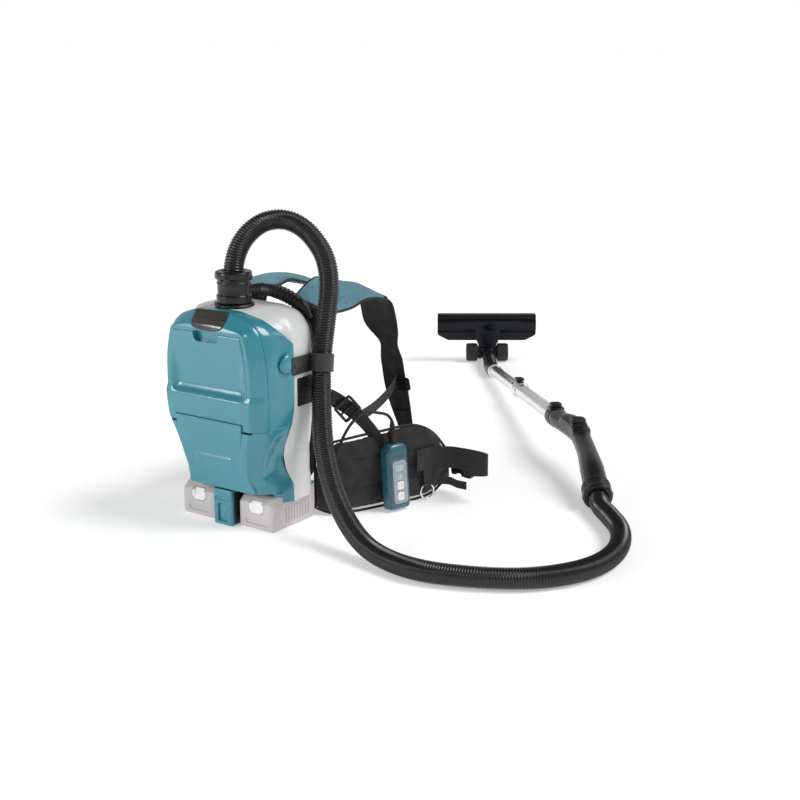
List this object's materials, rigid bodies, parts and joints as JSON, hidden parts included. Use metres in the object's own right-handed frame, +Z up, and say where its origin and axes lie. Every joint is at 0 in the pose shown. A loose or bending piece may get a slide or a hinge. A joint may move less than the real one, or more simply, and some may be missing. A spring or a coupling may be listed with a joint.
{
  "type": "backpack vacuum cleaner",
  "caption": "Cordless vacuum cleaner worn on the back by a padded harness, with a corrugated hose, a telescopic wand and a wheeled floor nozzle.",
  "frame": {"origin": "on the floor at the middle of the underside of the battery post, on the unit's plane of symmetry", "axes": "+Z up, +Y from the dust cover towards the wearer, +X towards the side where the hose leaves the unit"},
  "size_m": [1.0458, 1.4493, 0.5305],
  "materials": {
    "teal_plastic": "gloss",
    "white_plastic": "satin",
    "smoke_plastic": "satin",
    "black_plastic": "fine texture",
    "grey_plastic": "satin",
    "battery_plastic": "satin",
    "button_plastic": "satin",
    "hose_plastic": "corrugated",
    "soft_rubber": "matt",
    "harness_fabric": "woven",
    "strap_fabric": "woven",
    "webbing": "ribbed tape",
    "brush_fibre": "bristle strip",
    "filter_paper": "paper",
    "steel": "brushed",
    "chrome": "polished",
    "circuit": "lacquered"
  },
  "bodies": {
    "unit": {"back_pad": "harness_fabric", "back_plate": "black_plastic", "bag_holder": "grey_plastic", "battery_mount": "teal_plastic", "belt_webbing_l": "webbing", "belt_webbing_r": "webbing", "buckle_plug": "black_plastic", "buckle_socket": "black_plastic", "cable_boot": "black_plastic", "carry_handle": "black_plastic", "control_board": "circuit", "cover_gasket": "soft_rubber", "cover_hinge_pin": "steel", "dust_bag": "filter_paper", "front_case": "teal_plastic", "hepa_filter": "filter_paper", "hose": "hose_plastic", "hose_strap": "grey_plastic", "inlet_port": "black_plastic", "lower_webbing_l": "webbing", "lower_webbing_r": "webbing", "motor_housing": "grey_plastic", "outer_pipe": "chrome", "rear_case": "white_plastic", "remote_cable": "soft_rubber", "remote_housing": "teal_plastic", "remote_keypad": "grey_plastic", "shoulder_strap_l": "strap_fabric", "shoulder_strap_r": "strap_fabric", "side_vent_l": "black_plastic", "side_vent_r": "black_plastic", "strap_adjuster_l": "black_plastic", "strap_adjuster_r": "black_plastic", "strap_hook": "teal_plastic", "waist_belt_l": "harness_fabric", "waist_belt_r": "harness_fabric", "wand_handle": "black_plastic"},
    "cover": {"dust_cover": "teal_plastic"},
    "latch": {"cover_latch": "smoke_plastic"},
    "battery_right": {"battery_pack_r": "battery_plastic"},
    "battery_left": {"battery_pack_l": "battery_plastic"},
    "battery_button_right": {"battery_button_r": "button_plastic"},
    "battery_button_left": {"battery_button_l": "button_plastic"},
    "hose_cuff": {"swivel_cuff": "black_plastic"},
    "fan": {"motor_rotor": "steel", "fan_impeller": "battery_plastic"},
    "power_key": {"power_button": "button_plastic"},
    "mode_key": {"mode_button": "button_plastic"},
    "ring": {"belt_ring": "steel"},
    "hose_end": {"hose_end_cuff": "black_plastic"},
    "slider": {"suction_slider": "black_plastic"},
    "handle_lock": {"handle_lock_button": "black_plastic"},
    "pipe_lock": {"pipe_lock_button": "black_plastic"},
    "lower_pipe": {"inner_pipe": "chrome"},
    "elbow": {"nozzle_elbow": "black_plastic", "wheel_axle": "steel"},
    "head": {"nozzle_body": "black_plastic", "nozzle_brush": "brush_fibre"},
    "roller_right": {"wheel_r": "soft_rubber"},
    "roller_left": {"wheel_l": "soft_rubber"}
  },
  "joints": [
    {"name": "cover_hinge", "type": "hinge", "parent": "unit", "child": "cover", "pos_m": [0, -0.076, 0.181], "axis": [1, 0, 0], "range_deg": [0, 100]},
    {"name": "latch_hinge", "type": "hinge", "parent": "cover", "child": "latch", "pos_m": [0, -0.054, 0.3722], "axis": [-1, 0, 0], "range_deg": [0, 35]},
    {"name": "battery_slide_right", "type": "slide", "parent": "unit", "child": "battery_right", "axis": [0, -1, 0], "range_m": [0, 0.13]},
    {"name": "battery_slide_left", "type": "slide", "parent": "unit", "child": "battery_left", "axis": [0, -1, 0], "range_m": [0, 0.13]},
    {"name": "battery_button_press_right", "type": "slide", "parent": "battery_right", "child": "battery_button_right", "axis": [0, 1, 0], "range_m": [0, 0.0025]},
    {"name": "battery_button_press_left", "type": "slide", "parent": "battery_left", "child": "battery_button_left", "axis": [0, 1, 0], "range_m": [0, 0.0025]},
    {"name": "cuff_swivel", "type": "hinge", "parent": "unit", "child": "hose_cuff", "pos_m": [0, -0.004, 0.4], "axis": [0, 0, 1], "continuous": true},
    {"name": "fan_spin", "type": "hinge", "parent": "unit", "child": "fan", "pos_m": [0, 0.005, 0.12], "axis": [0, 0, 1], "continuous": true},
    {"name": "power_key_press", "type": "slide", "parent": "unit", "child": "power_key", "axis": [-0.9638, 0.252, -0.0872], "range_m": [0, 0.0012]},
    {"name": "mode_key_press", "type": "slide", "parent": "unit", "child": "mode_key", "axis": [-0.9638, 0.252, -0.0872], "range_m": [0, 0.0012]},
    {"name": "ring_swing", "type": "hinge", "parent": "unit", "child": "ring", "pos_m": [0.2115, 0.2595, 0.03], "axis": [-0.4067, -0.9135, 0], "range_deg": [0, 60]},
    {"name": "hose_end_swivel", "type": "hinge", "parent": "unit", "child": "hose_end", "pos_m": [0.479, 0.398, 0.0285], "axis": [-0.5486, 0.788, 0.2793], "continuous": true},
    {"name": "suction_slide", "type": "slide", "parent": "unit", "child": "slider", "axis": [-0.6687, 0.7386, -0.0851], "range_m": [-0.006, 0.006]},
    {"name": "handle_lock_slide", "type": "slide", "parent": "unit", "child": "handle_lock", "axis": [-0.6687, 0.7386, -0.0851], "range_m": [0, 0.004]},
    {"name": "pipe_lock_slide", "type": "slide", "parent": "unit", "child": "pipe_lock", "axis": [-0.6687, 0.7386, -0.0851], "range_m": [0, 0.005]},
    {"name": "pipe_telescope", "type": "slide", "parent": "unit", "child": "lower_pipe", "axis": [-0.6687, 0.7386, -0.0851], "range_m": [-0.2, 0.03]},
    {"name": "elbow_swivel", "type": "hinge", "parent": "lower_pipe", "child": "elbow", "pos_m": [-0.18, 1.139, 0.016], "axis": [-0.6687, 0.7386, -0.0851], "range_deg": [-60, 60]},
    {"name": "head_tilt", "type": "hinge", "parent": "elbow", "child": "head", "pos_m": [-0.28, 1.274, 0.023], "axis": [0.8216, 0.57, 0], "range_deg": [-90, 0]},
    {"name": "roller_spin_right", "type": "hinge", "parent": "elbow", "child": "roller_right", "pos_m": [-0.28, 1.274, 0.023], "axis": [0.8216, 0.57, 0], "continuous": true},
    {"name": "roller_spin_left", "type": "hinge", "parent": "elbow", "child": "roller_left", "pos_m": [-0.28, 1.274, 0.023], "axis": [0.8216, 0.57, 0], "continuous": true}
  ]
}
